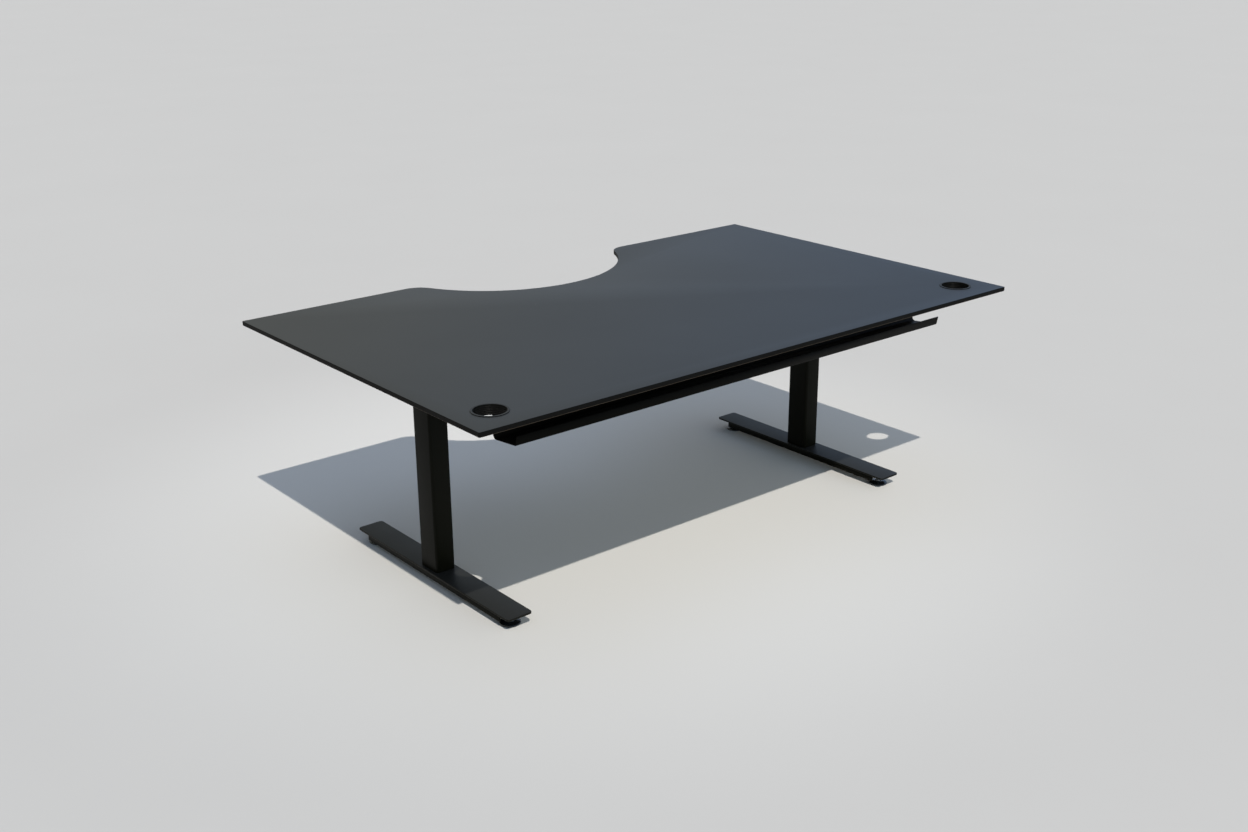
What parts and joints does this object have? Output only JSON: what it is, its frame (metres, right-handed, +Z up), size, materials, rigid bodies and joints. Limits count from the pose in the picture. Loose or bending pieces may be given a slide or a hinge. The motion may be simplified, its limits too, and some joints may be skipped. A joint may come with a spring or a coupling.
{
  "type": "height adjustable standing desk",
  "caption": "Electric sit-stand desk with a dark laminate worktop, a curved cut-out in the front edge, cable ports at the rear, telescoping columns on T-feet and a cable tray.",
  "frame": {"origin": "on the floor, under the middle of the worktop's bounding rectangle", "axes": "+X to the right of a user who faces the desk, along its width; +Y from the user to the rear edge; +Z up"},
  "size_m": [1.8, 1.1, 0.6165],
  "materials": {
    "laminate": "matte",
    "powder_coat": "satin",
    "moulded_black": "satin",
    "port_plastic": "satin",
    "acetal": "satin",
    "zinc": "satin",
    "ground_steel": "satin",
    "cast_housing": "satin",
    "motor_shell": "satin",
    "glide_nylon": "matte"
  },
  "bodies": {
    "base": {"outer_tube_left": "powder_coat", "outer_tube_right": "powder_coat", "outer_guide_left": "moulded_black", "outer_guide_right": "moulded_black", "fixed_screw_left": "ground_steel", "fixed_screw_right": "ground_steel", "column_base_left": "ground_steel", "column_base_right": "ground_steel", "foot_plate_left": "powder_coat", "foot_plate_right": "powder_coat", "foot_channel_left": "powder_coat", "foot_channel_right": "powder_coat", "foot_bolts": "zinc", "glide_nuts": "zinc"},
    "lift": {"tabletop": "laminate", "port_left": "port_plastic", "port_right": "port_plastic", "tabletop_screws": "zinc", "side_arm_left": "powder_coat", "side_arm_right": "powder_coat", "cross_beam_front": "powder_coat", "cross_beam_rear": "powder_coat", "frame_bolts": "zinc", "cable_tray": "powder_coat", "accessory_screws": "zinc", "control_box": "moulded_black", "mains_inlet": "moulded_black", "handset": "moulded_black", "gear_housing_left": "cast_housing", "gear_housing_right": "cast_housing", "motor_left": "motor_shell", "motor_right": "motor_shell", "inner_tube_left": "powder_coat", "inner_tube_right": "powder_coat", "inner_nut_left": "acetal", "inner_nut_right": "acetal"},
    "middle_left": {"middle_tube_left": "powder_coat", "middle_guide_left": "moulded_black", "middle_shoe_left": "acetal", "middle_plate_left": "ground_steel"},
    "hollow_screw_left": {"hollow_screw_left": "ground_steel"},
    "drive_tube_left": {"drive_tube_left": "ground_steel"},
    "glide_front_left": {"glide_pad_front_left": "glide_nylon", "glide_stud_front_left": "zinc"},
    "glide_rear_left": {"glide_pad_rear_left": "glide_nylon", "glide_stud_rear_left": "zinc"},
    "middle_right": {"middle_tube_right": "powder_coat", "middle_guide_right": "moulded_black", "middle_shoe_right": "acetal", "middle_plate_right": "ground_steel"},
    "hollow_screw_right": {"hollow_screw_right": "ground_steel"},
    "drive_tube_right": {"drive_tube_right": "ground_steel"},
    "glide_front_right": {"glide_pad_front_right": "glide_nylon", "glide_stud_front_right": "zinc"},
    "glide_rear_right": {"glide_pad_rear_right": "glide_nylon", "glide_stud_rear_right": "zinc"},
    "button_up": {"button_up": "moulded_black"},
    "button_down": {"button_down": "moulded_black"}
  },
  "joints": [
    {"name": "lift", "type": "slide", "parent": "base", "child": "lift", "axis": [0, 0, 1], "range_m": [0, 0.65]},
    {"name": "middle_left_slide", "type": "slide", "parent": "base", "child": "middle_left", "axis": [0, 0, 1], "range_m": [0, 0.325]},
    {"name": "middle_right_slide", "type": "slide", "parent": "base", "child": "middle_right", "axis": [0, 0, 1], "range_m": [0, 0.325]},
    {"name": "hollow_screw_left_turn", "type": "hinge", "parent": "middle_left", "child": "hollow_screw_left", "pos_m": [-0.678, 0, 0.3], "axis": [0, 0, 1], "continuous": true},
    {"name": "drive_tube_left_turn", "type": "hinge", "parent": "lift", "child": "drive_tube_left", "pos_m": [-0.678, 0, 0.3], "axis": [0, 0, 1], "continuous": true},
    {"name": "hollow_screw_right_turn", "type": "hinge", "parent": "middle_right", "child": "hollow_screw_right", "pos_m": [0.678, 0, 0.3], "axis": [0, 0, 1], "continuous": true},
    {"name": "drive_tube_right_turn", "type": "hinge", "parent": "lift", "child": "drive_tube_right", "pos_m": [0.678, 0, 0.3], "axis": [0, 0, 1], "continuous": true},
    {"name": "glide_front_left_height", "type": "slide", "parent": "base", "child": "glide_front_left", "axis": [0, 0, -1], "range_m": [0, 0.008]},
    {"name": "glide_rear_left_height", "type": "slide", "parent": "base", "child": "glide_rear_left", "axis": [0, 0, -1], "range_m": [0, 0.008]},
    {"name": "glide_front_right_height", "type": "slide", "parent": "base", "child": "glide_front_right", "axis": [0, 0, -1], "range_m": [0, 0.008]},
    {"name": "glide_rear_right_height", "type": "slide", "parent": "base", "child": "glide_rear_right", "axis": [0, 0, -1], "range_m": [0, 0.008]},
    {"name": "button_up_press", "type": "slide", "parent": "lift", "child": "button_up", "axis": [0, 1, 0], "range_m": [0, 0.0012], "stiffness_N_per_m": 600, "springref_m": -0.002},
    {"name": "button_down_press", "type": "slide", "parent": "lift", "child": "button_down", "axis": [0, 1, 0], "range_m": [0, 0.0012], "stiffness_N_per_m": 600, "springref_m": -0.002}
  ],
  "couplings": [
    {"joint": "middle_left_slide", "follows": "lift", "ratio": 0.5},
    {"joint": "middle_right_slide", "follows": "lift", "ratio": 0.5},
    {"joint": "hollow_screw_left_turn", "follows": "lift", "rad_per_m": 314.16},
    {"joint": "drive_tube_left_turn", "follows": "lift", "rad_per_m": 314.16},
    {"joint": "hollow_screw_right_turn", "follows": "lift", "rad_per_m": 314.16},
    {"joint": "drive_tube_right_turn", "follows": "lift", "rad_per_m": 314.16}
  ]
}
